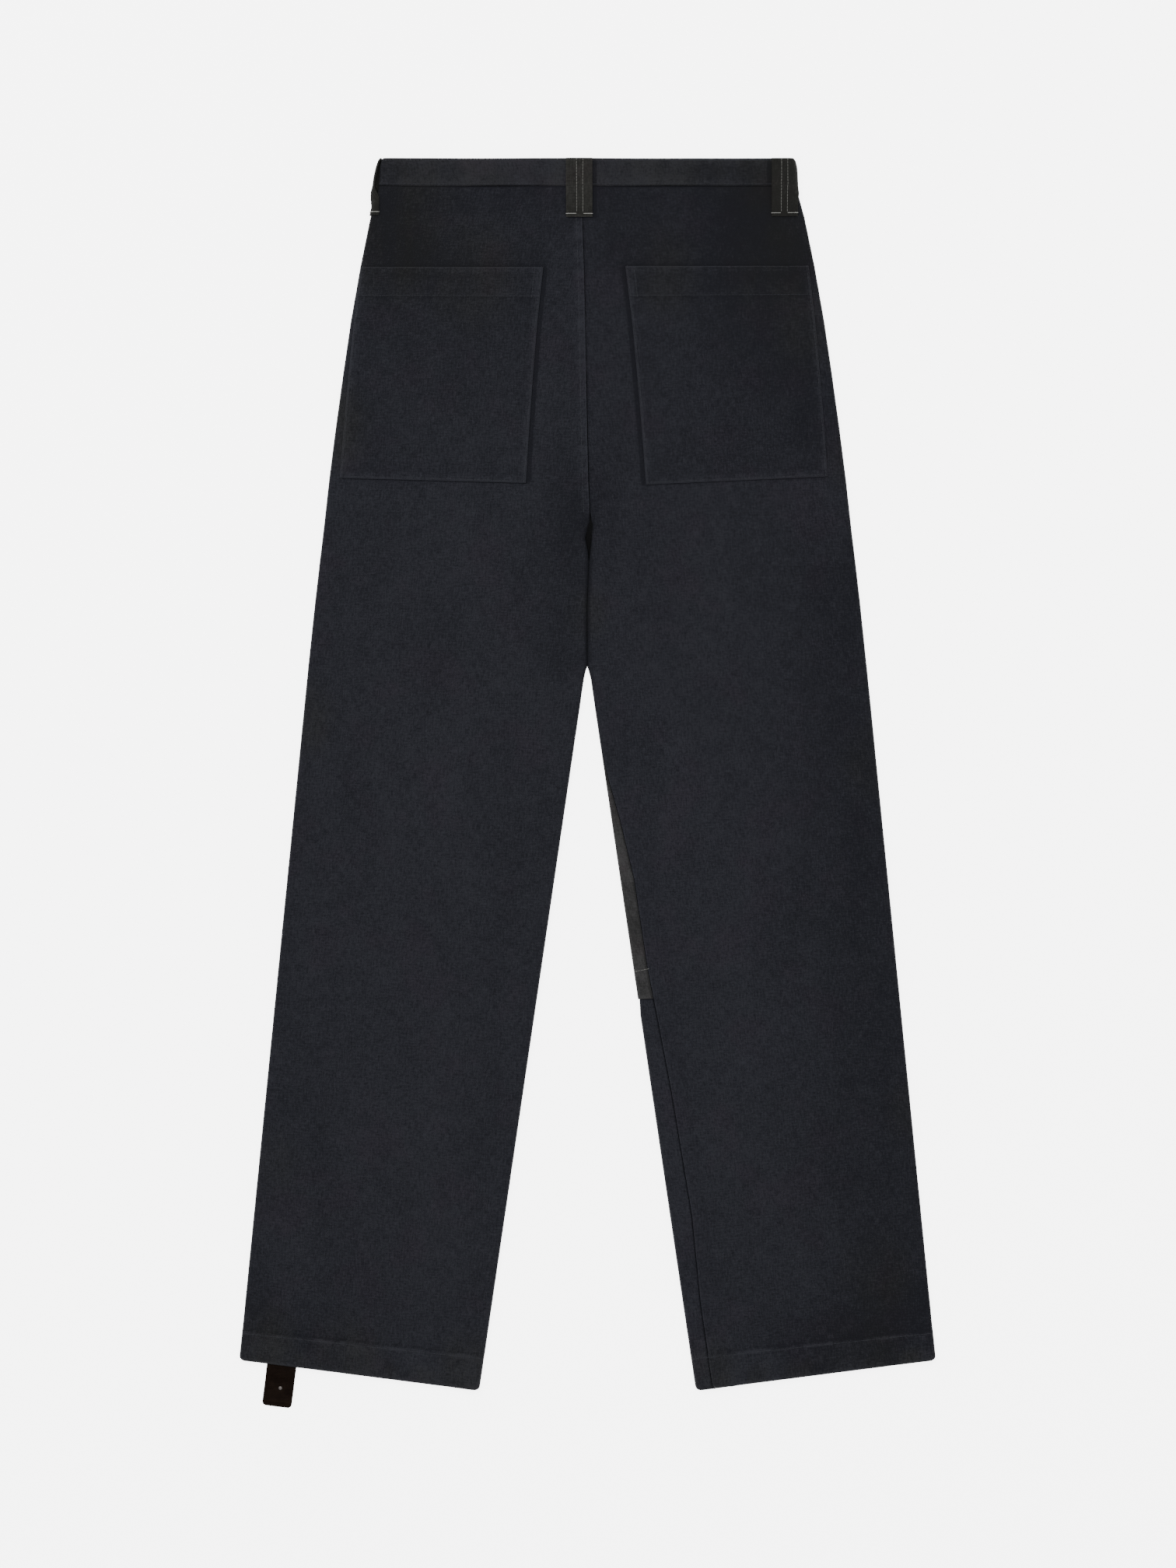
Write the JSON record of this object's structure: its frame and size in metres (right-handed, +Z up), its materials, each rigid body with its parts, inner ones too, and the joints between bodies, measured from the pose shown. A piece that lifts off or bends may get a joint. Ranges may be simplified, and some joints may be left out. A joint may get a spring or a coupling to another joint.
{
  "type": "work trousers",
  "caption": "Straight-legged heavy cotton work trousers laid flat on their front, with a narrow waistband, belt loops, patch back pockets, a knee panel and a strap hanging from one hem.",
  "frame": {"origin": "on the surface that the trousers lie on, under the middle of their bounding box", "axes": "+Y from the hems to the waist, +X to the right as seen from above, which is the wearer's right, +Z up from the surface and out of the wearer's back"},
  "size_m": [0.6408, 1.1482, 0.0094],
  "materials": {
    "navy_twill": "matt heavy cotton twill, garment dyed dark navy, mottled and faded",
    "olive_twill": "matt cotton twill, charcoal olive, faded",
    "black_brown_leather": "smooth, satin",
    "dull_metal": "dull, darkened"
  },
  "bodies": {
    "root": {"back_panel_left": "navy_twill", "back_panel_right": "navy_twill", "front_panel_left": "navy_twill", "front_panel_right": "navy_twill", "knee_panel_right": "olive_twill", "waistband": "navy_twill", "waist_button": "dull_metal", "fly_shield": "navy_twill", "belt_loop_left": "olive_twill", "belt_loop_centre": "olive_twill", "belt_loop_right": "olive_twill", "back_pocket_left": "navy_twill", "back_pocket_right": "navy_twill", "hem_strap": "black_brown_leather", "strap_rivet": "dull_metal"}
  },
  "joints": []
}
